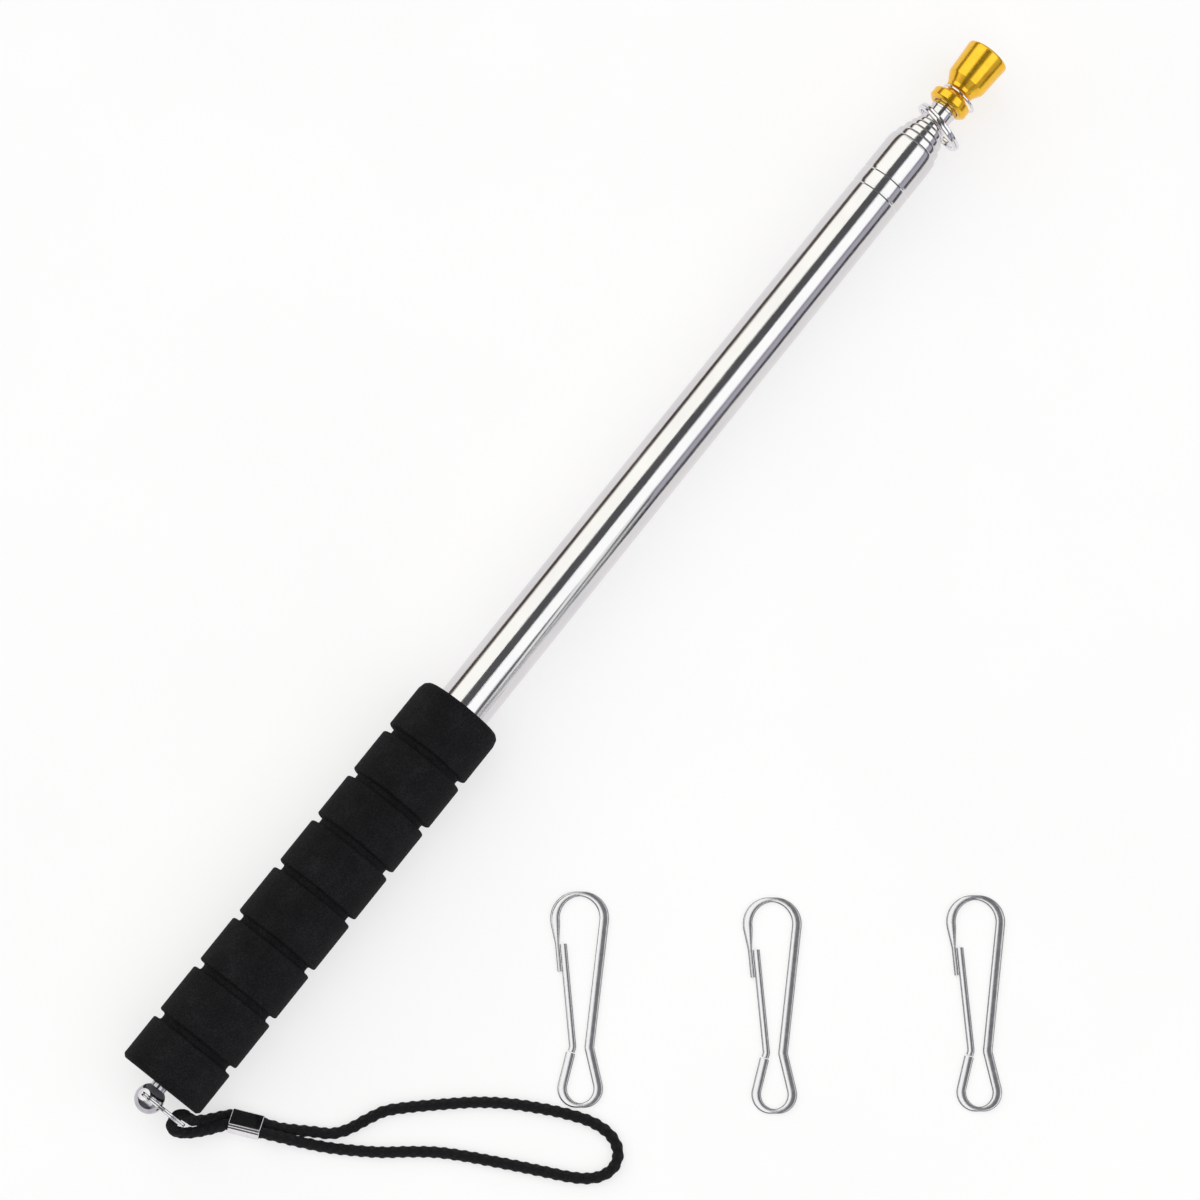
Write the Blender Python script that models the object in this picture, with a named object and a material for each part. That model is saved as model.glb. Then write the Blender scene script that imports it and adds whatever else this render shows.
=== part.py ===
"""A hand-held telescopic flag pole, closed and lying level, with its wrist strap and three snap hooks.

Lengths below are in millimetres and become metres in place(). Two frames are used:
- pole frame: +Y runs along the pole's axis from the grip's butt end (y = 0) to the tip, +Z up, +X right;
- bench frame: the same start and directions, but with z = 0 on the surface that the grip lies on.
"""

import math

import bmesh
import bpy
from mathutils import Matrix, Vector

MM = 0.001
SIDES = 20  # flats around a turned piece, one of them facing down

# ---- driving dimensions, mm -------------------------------------------------------------------
GRIP_LENGTH = 134.9
GRIP_R = 13.5
GROOVE_R = 11.5
GROOVE_HALF_WIDTH = 1.1
GROOVE_FLARE = 0.5
GROOVE_CENTRES = (15.3, 32.9, 50.2, 68.3, 85.2, 101.3, 117.5)
GRIP_EDGE = 1.4
GRIP_BORE_R = 8.3
AXIS_HEIGHT = GRIP_R

SECTIONS = 6
TUBE_R = 8.0  # outside radius of the fixed tube
TUBE_STEP = 0.83  # each inner tube is this much smaller in radius
TUBE_WALL = 0.40
MOUTH_Y = (345.2, 347.9, 350.3, 352.3, 354.0)  # open ends of tubes 1 to 5, closed
SHOULDER = (3.7, 1.2, 1.1, 1.0, 0.9)  # length of each rolled-in end
FIXED_TUBE_FOOT = 2.0
INNER_TUBE_FOOT = 14.0
FOOT_LIP = 0.28
LIP_LENGTH = 1.2
SLEEVE_LENGTH = 30.0
RUNNING_GAP = 0.08
ROLLED_RINGS = (326.3, 331.7)
ROLLED_DEPTH = 0.15
BEAD_Y = 359.2
BEAD_RISE = 0.25

KNOB_TOP = 381.0
KNOB_RIM_R = 6.7
COLLAR_FOOT = 360.5
COLLAR_TOP = 364.3
COLLAR_R = 6.15
KNOB_FOOT = 366.5
NECK_R = 3.2
TIP_STUD_R = 2.0

BALL_R = 4.3
BALL_Y = -4.7
BALL_HOLE_R = 1.75
BALL_HOLE_X = -1.5
BALL_NECK_R = 2.4
PLUG_RIM = (0.6, 1.7)
PLUG_TOP = 12.0
SHANK_R = 2.0
SHANK_TOP = 9.0

STRAP_RING_R = (6.5, 7.5)
STRAP_RING_COIL = 0.60
STRAP_RING_X = BALL_HOLE_X + 6.4
FLAG_RING_R = (7.2, 8.5)
FLAG_RING_COIL = 0.95
FLAG_RING_PLACE = Vector((1.6, 355.3, -2.6))
FLAG_RING_LEAN = math.radians(4)
FLAG_RING_TURN = math.radians(-14)
TIP_RING_R = 5.35
TIP_RING_WIRE_R = 0.45
TIP_RING_X = 1.1
TIP_RING_DROP = 0.85
TIP_RING_TURN = math.radians(-5)

CORD_R = 1.6
FERRULE_MIDDLE = Vector((24.4, 6.5, 3.75))
FERRULE_HEADING = math.radians(24.4)
FERRULE_LENGTH = 9.0
FERRULE_SIZE = (7.3, 3.95)
FERRULE_WALL = 0.28
FERRULE_EDGE = 1.3
FERRULE_ROLL = math.radians(35)

HOOK_THICK = 1.3
HOOK_EDGE_WIDTH = 1.3  # across the strip on the crown and under the eye
HOOK_LEG_WIDTH = 2.7  # across the strip on the legs
CATCH_WIDTH = 1.15
GATE_WIDTH = 2.0
HOOK_PLACES = ((76.2, 92.1), (120.1, 124.5), (165.0, 160.6))
HOOK_TURN = math.radians(38.3)

# ---- materials --------------------------------------------------------------------------------
LOOKS = {
    "foam": ((0.022, 0.022, 0.024), 0.85, 0.0),
    "steel": ((0.72, 0.72, 0.73), 0.12, 1.0),
    "chrome": ((0.80, 0.80, 0.82), 0.08, 1.0),
    "gold": ((0.90, 0.52, 0.08), 0.22, 1.0),
    "bronze": ((0.55, 0.36, 0.17), 0.35, 1.0),
    "plug_grey": ((0.30, 0.30, 0.31), 0.50, 0.0),
    "cord": ((0.012, 0.012, 0.014), 0.75, 0.0),
}


def material(name):
    """The Principled material of that name, made on first use."""
    made = bpy.data.materials.get(name)
    if made is None:
        colour, roughness, metallic = LOOKS[name]
        made = bpy.data.materials.new(name)
        made.use_nodes = True
        shader = made.node_tree.nodes["Principled BSDF"]
        shader.inputs["Base Color"].default_value = (*colour, 1.0)
        shader.inputs["Roughness"].default_value = roughness
        shader.inputs["Metallic"].default_value = metallic
        made.diffuse_color = (*colour, 1.0)
    return made


# ---- mesh helpers -----------------------------------------------------------------------------
def empty(name, parent=None, at=(0, 0, 0), turn=(0, 0, 0)):
    """An empty that holds a frame, at a place in millimetres."""
    made = bpy.data.objects.new(name, None)
    bpy.context.scene.collection.objects.link(made)
    made.parent = parent
    made.location = Vector(at) * MM
    made.rotation_euler = turn
    return made


def place(name, bm, look, parent, at=(0, 0, 0), turn=(0, 0, 0)):
    """Turns a millimetre bmesh into an object in the parent's frame, faces out, round parts smooth."""
    bmesh.ops.remove_doubles(bm, verts=bm.verts, dist=1e-5)
    bmesh.ops.delete(bm, geom=[e for e in bm.edges if not e.link_faces], context="EDGES")
    bmesh.ops.recalc_face_normals(bm, faces=bm.faces)
    bmesh.ops.scale(bm, vec=(MM, MM, MM), verts=bm.verts)
    mesh = bpy.data.meshes.new(name)
    bm.to_mesh(mesh)
    bm.free()
    mesh.materials.append(material(look))
    mesh.shade_smooth()
    mesh.set_sharp_from_angle(angle=math.radians(35))
    made = bpy.data.objects.new(name, mesh)
    bpy.context.scene.collection.objects.link(made)
    made.parent = parent
    made.location = Vector(at) * MM
    made.rotation_euler = turn
    return made


def skin(rings, closed):
    """A bmesh over rings of points with the same count: joined end to end if closed, else capped."""
    bm = bmesh.new()
    rows = [[bm.verts.new(p) for p in ring] for ring in rings]
    count = len(rows[0])
    pairs = list(zip(rows, rows[1:]))
    if closed:
        pairs.append((rows[-1], rows[0]))
    for low, high in pairs:
        for i in range(count):
            j = (i + 1) % count
            bm.faces.new((low[i], low[j], high[j], high[i]))
    if not closed:
        bm.faces.new(rows[0])
        bm.faces.new(rows[-1])
    return bm


def turned(outline, slot_flats=0):
    """Turns a closed (radius, y) outline round +Y, flats touching its radii and one facing down.

    slot_flats leaves that many flats out, as a slit.
    """
    step = 2 * math.pi / SIDES
    reach = 1 / math.cos(step / 2)
    rings = []
    for i in range(SIDES + (1 - slot_flats if slot_flats else 0)):
        angle = step * (i + 0.5)
        side, up = math.sin(angle) * reach, -math.cos(angle) * reach
        rings.append([Vector((r * side, y, r * up)) for r, y in outline])
    return skin(rings, closed=not slot_flats)


def rounded(corners, radii, steps=5):
    """A path through the corners, each inner one rounded to its radius. Points are Vectors of two."""
    path = [Vector(corners[0])]
    for i, radius in enumerate(radii, start=1):
        here = Vector(corners[i])
        back = (Vector(corners[i - 1]) - here).normalized()
        ahead = (Vector(corners[i + 1]) - here).normalized()
        half = back.angle(ahead) / 2
        centre = here + (back + ahead).normalized() * (radius / math.sin(half))
        first = here + back * (radius / math.tan(half)) - centre
        swing = (math.pi - 2 * half) * (1 if back.cross(first) > 0 else -1)
        for k in range(steps + 1):
            path.append(centre + Matrix.Rotation(swing * k / steps, 2) @ first)
    path.append(Vector(corners[-1]))
    return path


def coil_ring(inner, outer, coil, turns=1.85, steps=22):
    """A flat split ring about +Y: a strip wound nearly twice, its coils side by side."""
    gap = 0.06
    count = int(turns * steps)
    rings = []
    for i in range(count + 1):
        turn = i / steps
        angle = 2 * math.pi * turn
        # The strip lies flat for most of each turn and crosses over beside the ends.
        shift = (coil + gap) * min(1.0, max(0.0, (turn - 0.85) / 0.15 if turn < 1 else 1.0))
        low = shift - coil - gap / 2
        out = Vector((math.cos(angle), 0, math.sin(angle)))
        across = Vector((0, 1, 0))
        rings.append([out * r + across * y for r, y in
                      ((inner, low), (outer, low), (outer, low + coil), (inner, low + coil))])
    return skin(rings, closed=False)


def wire_ring(radius, wire, steps=28, sides=6):
    """A closed round-wire ring about +Y."""
    rings = []
    for i in range(steps):
        angle = 2 * math.pi * i / steps
        out = Vector((math.cos(angle), 0, math.sin(angle)))
        around = [2 * math.pi * (k + 0.5) / sides for k in range(sides)]
        rings.append([out * (radius + wire * math.cos(a)) + Vector((0, wire * math.sin(a), 0))
                      for a in around])
    return skin(rings, closed=True)


def spaced(path, spacing):
    """The same path with its long straight stretches divided."""
    made = [path[0]]
    for start, end in zip(path, path[1:]):
        count = max(1, round((end - start).length / spacing))
        made += [start.lerp(end, k / count) for k in range(1, count + 1)]
    return made


def flat_strip(path, width):
    """A strip lying flat along a level path, from z = 0 up. width(place, direction) is its size across."""
    rings = []
    for i, here in enumerate(path):
        along = (path[min(i + 1, len(path) - 1)] - path[max(i - 1, 0)]).normalized()
        side = Vector((-along.y, along.x)) * width(here, along) / 2
        left, right = here + side, here - side
        rings.append([Vector((left.x, left.y, 0)), Vector((right.x, right.y, 0)),
                      Vector((right.x, right.y, HOOK_THICK)), Vector((left.x, left.y, HOOK_THICK))])
    return skin(rings, closed=False)


def smooth_route(route, bend=math.radians(17), stride=6.5):
    """Points on the smooth curve through a cord's route: one after each bit of bend or long stride."""
    points = [Vector(p) for p in route]
    ends = [points[0] * 2 - points[1]] + points + [points[-1] * 2 - points[-2]]
    fine = []
    for p0, p1, p2, p3 in zip(ends, ends[1:], ends[2:], ends[3:]):
        for k in range(12):
            t = k / 12
            fine.append(0.5 * (2 * p1 + (p2 - p0) * t + (2 * p0 - 5 * p1 + 4 * p2 - p3) * t**2
                               + (3 * p1 - p0 - 3 * p2 + p3) * t**3))
    fine.append(points[-1])
    kept = [fine[0]]
    turned_by = walked = 0.0
    for before, here, after in zip(fine, fine[1:], fine[2:]):
        turned_by += (here - before).angle(after - here, 0.0)
        walked += (here - before).length
        if turned_by > bend or walked > stride:
            kept.append(here)
            turned_by = walked = 0.0
    return kept + [fine[-1]]


def cord_tube(name, route, parent):
    """A plain round tube along a cord's route."""
    curve = bpy.data.curves.new(name, "CURVE")
    curve.dimensions = "3D"
    curve.bevel_depth = CORD_R * MM
    curve.bevel_resolution = 2
    curve.use_fill_caps = True
    line = curve.splines.new("POLY")
    points = smooth_route(route)
    line.points.add(len(points) - 1)
    for slot, point in zip(line.points, points):
        slot.co = (*(point * MM), 1.0)
    curve.materials.append(material("cord"))
    made = bpy.data.objects.new(name, curve)
    bpy.context.scene.collection.objects.link(made)
    made.parent = parent
    return made


# ---- grip and butt ----------------------------------------------------------------------------
def foam_grip(pole):
    """The ribbed foam sleeve: eight ribs with seven square grooves between them."""
    edge = GRIP_EDGE * 0.3
    outline = [(GRIP_BORE_R, 0.0), (GRIP_R - GRIP_EDGE, 0.0), (GRIP_R - edge, edge), (GRIP_R, GRIP_EDGE)]
    for centre in GROOVE_CENTRES:
        half = GROOVE_HALF_WIDTH
        outline += [(GRIP_R, centre - half - GROOVE_FLARE), (GRIP_R - GROOVE_FLARE, centre - half),
                    (GROOVE_R, centre - half), (GROOVE_R, centre + half),
                    (GRIP_R - GROOVE_FLARE, centre + half), (GRIP_R, centre + half + GROOVE_FLARE)]
    outline += [(GRIP_R, GRIP_LENGTH - GRIP_EDGE), (GRIP_R - edge, GRIP_LENGTH - edge),
                (GRIP_R - GRIP_EDGE, GRIP_LENGTH), (GRIP_BORE_R, GRIP_LENGTH)]
    place("foam_grip", turned(outline), "foam", pole)


def butt_plug(pole):
    """The plug pressed into the fixed tube's foot, with a bore for the ball's shank."""
    body_r = TUBE_R - TUBE_WALL - 0.15
    bore = SHANK_R + 0.3
    foot, step = PLUG_RIM
    outline = [(bore, foot), (TUBE_R, foot), (TUBE_R, step), (body_r, step), (body_r, PLUG_TOP),
               (bore, PLUG_TOP)]
    place("butt_plug", turned(outline), "plug_grey", pole)


def ball_stud(pole):
    """The ball that carries the strap ring, turned in one piece with its shank, and cross-drilled plumb."""
    neck = math.degrees(math.acos(BALL_NECK_R / BALL_R))
    neck_top = PLUG_RIM[0] - 0.3
    outline = [(BALL_R * math.cos(math.radians(a)), BALL_Y + BALL_R * math.sin(math.radians(a)))
               for a in range(-90, int(neck) - 2, 14)]
    outline[0] = (0.0, BALL_Y - BALL_R)
    outline += [(BALL_NECK_R, BALL_Y + BALL_R * math.sin(math.radians(neck))), (BALL_NECK_R, neck_top),
                (SHANK_R, neck_top), (SHANK_R, SHANK_TOP), (0.0, SHANK_TOP)]
    ball = place("ball_stud", turned(outline), "chrome", pole)

    drill_bm = bmesh.new()
    bmesh.ops.create_cone(drill_bm, cap_ends=True, segments=16, radius1=BALL_HOLE_R, radius2=BALL_HOLE_R,
                          depth=BALL_R * 3)
    bmesh.ops.rotate(drill_bm, verts=drill_bm.verts, matrix=Matrix.Rotation(math.pi / 16, 3, "Z"))
    drill = place("drill", drill_bm, "chrome", pole, at=(BALL_HOLE_X, BALL_Y, 0))
    drill.hide_render = True
    drill.display_type = "WIRE"
    cut = ball.modifiers.new("cross_hole", "BOOLEAN")
    cut.operation = "DIFFERENCE"
    cut.object = drill


# ---- telescopic sections ----------------------------------------------------------------------
def tube_r(section):
    """Outside radius of a section, 1 being the fixed tube."""
    return TUBE_R - TUBE_STEP * (section - 1)


def fixed_tube(pole):
    """The tube that the grip is on: two rolled rings near its top and a rolled-in mouth."""
    outer, inner = TUBE_R, TUBE_R - TUBE_WALL
    mouth = tube_r(2) + RUNNING_GAP
    top, shoulder = MOUTH_Y[0], SHOULDER[0]
    outline = [(inner, FIXED_TUBE_FOOT), (outer, FIXED_TUBE_FOOT)]
    for y in ROLLED_RINGS:
        outline += [(outer, y - 0.5), (outer - ROLLED_DEPTH, y), (outer, y + 0.5)]
    outline += [(outer, top - shoulder), (outer - 0.12, top - shoulder * 0.55),
                (outer - 0.42, top - shoulder * 0.2), (outer - 0.62, top), (mouth, top), (mouth, top - 1.2),
                (inner, top - shoulder - 0.6)]
    place("tube_1", turned(outline), "steel", pole)


def sliding_tube(section, parent):
    """A sliding tube: its foot's lip holds the friction sleeve, its mouth is rolled in round the next tube."""
    outer = tube_r(section)
    inner = outer - TUBE_WALL
    foot = INNER_TUBE_FOOT
    outline = [(inner, foot), (outer + FOOT_LIP, foot), (outer + FOOT_LIP, foot + LIP_LENGTH),
               (outer, foot + LIP_LENGTH)]
    if section < SECTIONS:
        top, shoulder = MOUTH_Y[section - 1], SHOULDER[section - 1]
        mouth = tube_r(section + 1) + RUNNING_GAP
        outline += [(outer, top - shoulder * 0.6), (outer - 0.14, top - shoulder * 0.2), (outer - 0.34, top),
                    (mouth, top), (mouth, top - 1.0), (inner, top - shoulder - 0.5)]
    else:
        outline += [(outer, BEAD_Y - 0.6), (outer + BEAD_RISE, BEAD_Y), (outer, BEAD_Y + 0.6),
                    (outer, COLLAR_TOP - 1.0), (inner, COLLAR_TOP - 1.0)]
    place(f"tube_{section}", turned(outline), "steel", parent)


def friction_sleeve(section, parent):
    """The slit spring sleeve round a sliding tube's foot: it drags on the tube outside it."""
    inner = tube_r(section) + 0.06
    outer = tube_r(section - 1) - TUBE_WALL - RUNNING_GAP
    foot = INNER_TUBE_FOOT + LIP_LENGTH + 0.15
    outline = [(inner, foot), (outer, foot), (outer, foot + SLEEVE_LENGTH), (inner, foot + SLEEVE_LENGTH)]
    place(f"friction_sleeve_{section}", turned(outline, slot_flats=1), "bronze", parent)


# ---- tip --------------------------------------------------------------------------------------
def tip(parent):
    """The gold collar on the last tube, the stud in it, and the knob on the stud."""
    tube = tube_r(SECTIONS)
    stud_r = TIP_STUD_R
    outline = [(tube + 0.12, COLLAR_FOOT), (COLLAR_R - 0.9, COLLAR_FOOT),
               (COLLAR_R - 0.25, COLLAR_FOOT + 0.3), (COLLAR_R, COLLAR_FOOT + 1.0),
               (COLLAR_R, COLLAR_TOP - 0.8), (COLLAR_R - 0.25, COLLAR_TOP - 0.2), (COLLAR_R - 0.9, COLLAR_TOP),
               (stud_r + 0.15, COLLAR_TOP), (stud_r + 0.15, COLLAR_TOP - 0.85),
               (tube + 0.12, COLLAR_TOP - 0.85)]
    place("tip_collar", turned(outline), "gold", parent)

    plug_r = tube - TUBE_WALL - 0.1
    outline = [(0.0, COLLAR_TOP - 9.0), (plug_r, COLLAR_TOP - 9.0), (plug_r, COLLAR_TOP - 1.1),
               (stud_r, COLLAR_TOP - 1.1), (stud_r, KNOB_FOOT + 6.0), (0.0, KNOB_FOOT + 6.0)]
    place("tip_stud", turned(outline), "steel", parent)

    belly = KNOB_FOOT + 3.7
    hole = stud_r + 0.15
    outline = [(hole, COLLAR_TOP + 0.1), (NECK_R, COLLAR_TOP + 0.1), (NECK_R, KNOB_FOOT), (4.15, KNOB_FOOT),
               (5.75, belly - 0.9), (6.15, belly), (6.28, belly + 1.2), (KNOB_RIM_R, KNOB_TOP - 0.6),
               (KNOB_RIM_R - 0.15, KNOB_TOP - 0.15), (KNOB_RIM_R - 0.6, KNOB_TOP), (0.0, KNOB_TOP),
               (0.0, KNOB_FOOT + 7.0), (hole, KNOB_FOOT + 7.0)]
    place("tip_knob", turned(outline), "gold", parent)


def tip_ring(parent):
    """The thin wire ring that hangs in the groove between collar and knob, a flag's corner tie."""
    bm = wire_ring(TIP_RING_R, TIP_RING_WIRE_R)
    middle = (COLLAR_TOP + KNOB_FOOT) / 2
    place("tip_ring", bm, "chrome", parent, at=(TIP_RING_X, middle, -TIP_RING_DROP),
          turn=(0, 0, TIP_RING_TURN))


def flag_ring(parent):
    """The split ring loose on the last tube, beside the tubes' mouths."""
    place("flag_ring", coil_ring(*FLAG_RING_R, FLAG_RING_COIL), "chrome", parent,
          at=FLAG_RING_PLACE, turn=(FLAG_RING_LEAN, 0, FLAG_RING_TURN))


# ---- wrist strap ------------------------------------------------------------------------------
def strap_ring(strap):
    """The split ring through the ball's hole. It hangs plumb, square to the pole."""
    place("strap_ring", coil_ring(*STRAP_RING_R, STRAP_RING_COIL), "chrome", strap,
          at=(STRAP_RING_X, BALL_Y, AXIS_HEIGHT))


def ferrule_frame():
    """Axes of the flat ferrule: along it, across its broad side from strand to strand, out of its top."""
    along = Vector((math.cos(FERRULE_HEADING), math.sin(FERRULE_HEADING), 0))
    level = along.cross(Vector((0, 0, 1)))
    broad = level * math.cos(FERRULE_ROLL) + Vector((0, 0, 1)) * math.sin(FERRULE_ROLL)
    return along, broad, along.cross(broad)


def cord_ferrule(strap):
    """The flat crimp that holds the strap's strands together, an open oblong tube."""
    along, broad, thick = ferrule_frame()
    width, height = FERRULE_SIZE
    edge = FERRULE_EDGE

    def oblong(end, inset):
        w, h = width / 2 - inset, height / 2 - inset
        e = edge - inset * 0.6
        corners = ((w, e - h), (w, h - e), (w - e, h), (e - w, h),
                   (-w, h - e), (-w, e - h), (e - w, -h), (w - e, -h))
        centre = FERRULE_MIDDLE + along * end * FERRULE_LENGTH / 2
        return [centre + broad * a + thick * b for a, b in corners]

    loops = [oblong(-1, 0), oblong(1, 0), oblong(1, FERRULE_WALL), oblong(-1, FERRULE_WALL)]
    place("cord_ferrule", skin(loops, closed=True), "chrome", strap)


def wrist_cord(strap):
    """One cord: from the ferrule round the hand loop, back through it, round the ring and back in."""
    along, broad, _ = ferrule_frame()
    lane = CORD_R + 0.07
    reach = FERRULE_LENGTH / 2
    flat = CORD_R + 0.12

    def in_ferrule(distance, side):
        return FERRULE_MIDDLE + along * distance + broad * side * lane

    hand_loop = [(32.4, 11.5, 2.1), (36.2, 13.8, flat), (40.6, 16.6, flat), (44.4, 19.0, flat),
                 (46.8, 21.7, flat), (48.4, 24.6, flat), (50.2, 28.8, flat), (52.6, 33.4, flat),
                 (57.0, 38.2, flat), (63.8, 44.6, flat), (71.0, 51.0, flat), (78.3, 56.3, flat),
                 (86.1, 60.8, flat), (93.4, 64.4, flat), (100.3, 66.9, flat), (106.4, 67.2, flat),
                 (110.8, 65.0, flat), (112.6, 61.1, flat), (111.6, 57.0, flat), (108.6, 53.6, flat),
                 (104.2, 50.8, flat), (98.4, 47.9, flat), (91.4, 44.4, flat), (84.4, 40.8, flat),
                 (77.6, 37.2, flat), (71.2, 33.4, flat), (65.2, 28.9, flat), (59.2, 24.0, flat),
                 (53.0, 19.7, flat), (46.4, 15.6, flat), (40.4, 12.5, 2.3), (34.8, 9.8, 3.7)]
    ring_eye = [(19.0, 1.2, 4.6), (16.4, -2.3, 5.4), (13.4, -5.6, 7.0), (10.9, -7.2, 8.9),
                (9.3, -6.9, 10.2), (8.6, -4.7, 10.7), (9.2, -2.6, 10.2), (10.6, -2.1, 8.9),
                (12.4, -1.9, 6.8), (14.6, 0.0, 4.9), (17.2, 3.3, 3.4)]
    route = [in_ferrule(0.3, -1), in_ferrule(reach, -1), in_ferrule(reach + 1.2, -1), *hand_loop,
             in_ferrule(reach + 1.2, 1), in_ferrule(reach, 1), in_ferrule(0, 1), in_ferrule(-reach, 1),
             in_ferrule(-reach - 0.7, 1), *ring_eye,
             in_ferrule(-reach - 0.7, -1), in_ferrule(-reach, -1), in_ferrule(-0.3, -1)]
    cord_tube("wrist_cord", route, strap)


# ---- snap hooks -------------------------------------------------------------------------------
# The hook's outline lies flat in its own frame: +Y towards the big loop's crown, origin at the middle.
HOOK_MIDDLE = Vector((0, 30.5))
CATCH_END = (-5.95, 38.3)
GATE_FOOT = (-2.72, 15.7)
GATE_PINCH = (-2.25, 16.9)
GATE_TIP = (-4.9, 46.1)


def snap_hook(number, frame):
    """The sprung strip: catch, big loop, pinch and small eye, up to where the gate begins."""
    corners = [CATCH_END, (-7.9, 60.35), (7.6, 60.35), (2.4, 16.8), (6.1, 0.65), (-6.6, 0.65),
               (-2.85, 15.35)]
    bends = (6.9, 6.9, 3.0, 4.7, 4.7)
    path = spaced(rounded(corners, bends), 5.0)

    def width(place, along):
        full = HOOK_EDGE_WIDTH + (HOOK_LEG_WIDTH - HOOK_EDGE_WIDTH) * abs(along.y)
        past_gate = min(max((place.y - GATE_TIP[1]) / 6, 0), 1)
        beside_gate = place.x < 0 and place.y > CATCH_END[1] - 1
        return CATCH_WIDTH + (full - CATCH_WIDTH) * past_gate if beside_gate else full

    bm = flat_strip(path, width)
    bmesh.ops.translate(bm, verts=bm.verts, vec=(-HOOK_MIDDLE).to_3d())
    place(f"snap_hook_{number}", bm, "chrome", frame)


def hook_gate(number, frame):
    """The hook's free leg, from above the small eye to its tip beside the catch. Its origin is at its root."""
    root = Vector(GATE_FOOT)
    path = spaced(rounded([GATE_FOOT, GATE_PINCH, GATE_TIP], (2.5,), steps=3), 8.0)
    bm = flat_strip([p - root for p in path], lambda place, along: GATE_WIDTH)
    place(f"hook_gate_{number}", bm, "chrome", frame, at=(root - HOOK_MIDDLE).to_3d())


# ---- assembly ---------------------------------------------------------------------------------
def box_middle():
    """Middle of the floor of the box around every piece but the cord, in metres."""
    bpy.context.view_layer.update()
    depsgraph = bpy.context.evaluated_depsgraph_get()
    corners = []
    for piece in bpy.context.scene.objects:
        if piece.type == "MESH" and not piece.hide_render:
            solid = piece.evaluated_get(depsgraph)
            corners += [piece.matrix_world @ vertex.co for vertex in solid.data.vertices]
    low = Vector(min(c[i] for c in corners) for i in range(3))
    high = Vector(max(c[i] for c in corners) for i in range(3))
    return Vector(((low.x + high.x) / 2, (low.y + high.y) / 2, low.z))


def build():
    for old in list(bpy.data.objects):
        bpy.data.objects.remove(old, do_unlink=True)
    bench = empty("bench")
    pole = empty("pole_axis", bench, at=(0, 0, AXIS_HEIGHT))

    foam_grip(pole)
    butt_plug(pole)
    ball_stud(pole)
    fixed_tube(pole)
    carrier = pole
    for section in range(2, SECTIONS + 1):
        carrier = empty(f"section_{section}", carrier)
        sliding_tube(section, carrier)
        friction_sleeve(section, carrier)
    tip(carrier)
    tip_ring(carrier)
    flag_ring(carrier)

    pivot = Vector((BALL_HOLE_X, BALL_Y, 0))
    strap = empty("strap_frame", empty("strap_pivot", bench, at=pivot), at=-pivot)
    strap_ring(strap)
    cord_ferrule(strap)
    wrist_cord(strap)

    for number, (x, y) in enumerate(HOOK_PLACES, start=1):
        frame = empty(f"snap_hook_{number}_frame", bench, at=(x, y, 0), turn=(0, 0, HOOK_TURN))
        snap_hook(number, frame)
        hook_gate(number, frame)

    bench.location = -box_middle()


build()
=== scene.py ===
"""Telescopic flag pole with its wrist strap and snap hooks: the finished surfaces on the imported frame.

Sizes below are in millimetres, in the bench frame: x = 0 and y = 0 at the middle of the grip's butt end, +Y
along the pole, z = 0 on the floor. home() turns them into the row frame.
"""

import math

import bmesh
import bpy
from mathutils import Matrix, Vector


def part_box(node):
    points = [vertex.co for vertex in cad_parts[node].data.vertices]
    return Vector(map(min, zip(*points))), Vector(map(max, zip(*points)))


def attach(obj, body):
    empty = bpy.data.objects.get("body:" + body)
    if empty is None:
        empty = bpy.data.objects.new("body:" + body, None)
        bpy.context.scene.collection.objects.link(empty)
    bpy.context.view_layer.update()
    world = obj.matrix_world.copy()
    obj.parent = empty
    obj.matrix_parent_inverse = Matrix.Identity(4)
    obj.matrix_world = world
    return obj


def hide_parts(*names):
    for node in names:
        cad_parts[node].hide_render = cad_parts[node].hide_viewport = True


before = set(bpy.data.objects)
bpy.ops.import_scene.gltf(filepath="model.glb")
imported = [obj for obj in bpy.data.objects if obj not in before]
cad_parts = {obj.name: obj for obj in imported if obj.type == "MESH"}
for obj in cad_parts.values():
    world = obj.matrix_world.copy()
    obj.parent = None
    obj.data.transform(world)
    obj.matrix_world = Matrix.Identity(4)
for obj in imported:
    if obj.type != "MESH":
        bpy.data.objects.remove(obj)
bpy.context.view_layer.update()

grip_low, grip_high = (Vector(corner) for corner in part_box("foam_grip"))
MM = 0.001
BENCH = Vector(((grip_low.x + grip_high.x) / 2, grip_low.y, grip_low.z))
AXIS_Z = (grip_high.z - grip_low.z) / 2 / MM
Y_AXIS, UP = Vector((0, 1, 0)), Vector((0, 0, 1))


def home(point):
    """A bench point in millimetres as a row-frame point in metres."""
    return BENCH + Vector(point) * MM


# ---- camera -----------------------------------------------------------------------------------
AZIMUTH, ELEVATION = math.radians(38.18), math.radians(78.9)
AIM = (11.1, 183.7, AXIS_Z)
DISTANCE_M = 1.212
level = math.cos(ELEVATION)
back = Vector((math.sin(AZIMUTH) * level, -math.cos(AZIMUTH) * level, math.sin(ELEVATION)))
right = Vector((math.cos(AZIMUTH), math.sin(AZIMUTH), 0))
up = back.cross(right)
camera = bpy.data.objects.new("camera", bpy.data.cameras.new("camera"))
bpy.context.scene.collection.objects.link(camera)
camera.data.sensor_width = 36.0
camera.data.lens = 127.9
camera.data.clip_end = 20
turn = Matrix((right, up, back)).transposed().to_4x4()
camera.matrix_world = Matrix.Translation(home(AIM) + back * DISTANCE_M) @ turn
bpy.context.scene.camera = camera


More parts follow.
